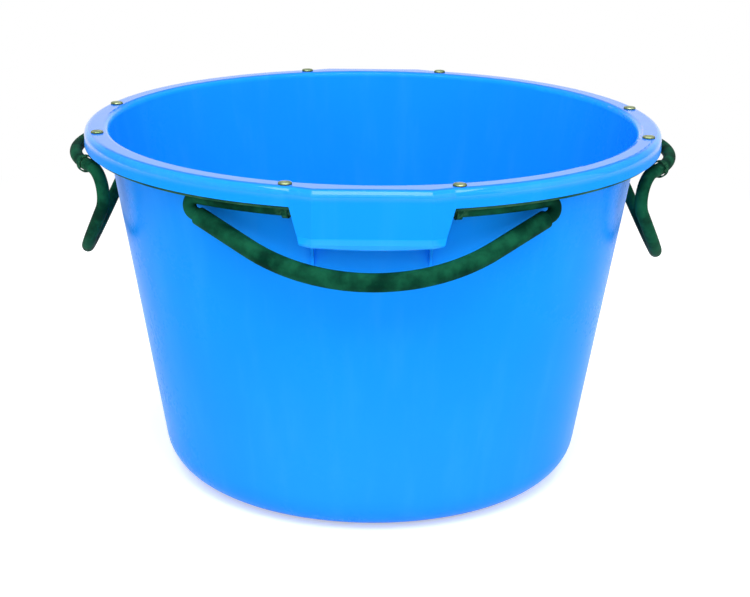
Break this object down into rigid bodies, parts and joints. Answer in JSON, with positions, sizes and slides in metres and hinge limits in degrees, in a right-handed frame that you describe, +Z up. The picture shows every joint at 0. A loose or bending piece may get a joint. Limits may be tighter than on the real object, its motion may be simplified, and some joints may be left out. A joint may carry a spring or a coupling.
{
  "type": "round tub",
  "caption": "Round tapered plastic tub with a turned-down rim, moulded grip lips and hanging rod loop handles riveted under the rim.",
  "frame": {"origin": "centre of the tub's flat underside, on the floor", "axes": "+Z up along the tub's axis; -Y towards the viewer, through the middle of the front grip lip; +X to the viewer's right"},
  "size_m": [0.6872, 0.681, 0.4072],
  "materials": {
    "tub_plastic": "glossy moulded blue",
    "green_paint": "dark green coating, satin gloss",
    "rivet_metal": "dull yellow passivated heads"
  },
  "bodies": {
    "tub": {"tub_body": "tub_plastic", "rim_hoop": "green_paint", "front_clip_a": "green_paint", "front_washer_a": "rivet_metal", "front_rivet_a": "rivet_metal", "front_clip_b": "green_paint", "front_washer_b": "rivet_metal", "front_rivet_b": "rivet_metal", "right_clip_a": "green_paint", "right_washer_a": "rivet_metal", "right_rivet_a": "rivet_metal", "right_clip_b": "green_paint", "right_washer_b": "rivet_metal", "right_rivet_b": "rivet_metal", "back_clip_a": "green_paint", "back_washer_a": "rivet_metal", "back_rivet_a": "rivet_metal", "back_clip_b": "green_paint", "back_washer_b": "rivet_metal", "back_rivet_b": "rivet_metal", "left_clip_a": "green_paint", "left_washer_a": "rivet_metal", "left_rivet_a": "rivet_metal", "left_clip_b": "green_paint", "left_washer_b": "rivet_metal", "left_rivet_b": "rivet_metal"},
    "front_loop": {"front_handle": "green_paint"},
    "right_loop": {"right_handle": "green_paint"},
    "back_loop": {"back_handle": "green_paint"},
    "left_loop": {"left_handle": "green_paint"}
  },
  "joints": [
    {"name": "front_handle_swing", "type": "hinge", "parent": "tub", "child": "front_loop", "pos_m": [0, -0.29564, 0.3785], "axis": [-1, 0, 0], "range_deg": [-8, 24]},
    {"name": "right_handle_swing", "type": "hinge", "parent": "tub", "child": "right_loop", "pos_m": [0.31462, 0, 0.372], "axis": [0, -1, 0], "range_deg": [-4, 22]},
    {"name": "back_handle_swing", "type": "hinge", "parent": "tub", "child": "back_loop", "pos_m": [0, 0.29564, 0.3785], "axis": [1, 0, 0], "range_deg": [-8, 24]},
    {"name": "left_handle_swing", "type": "hinge", "parent": "tub", "child": "left_loop", "pos_m": [-0.31462, 0, 0.372], "axis": [0, 1, 0], "range_deg": [-4, 22]}
  ]
}
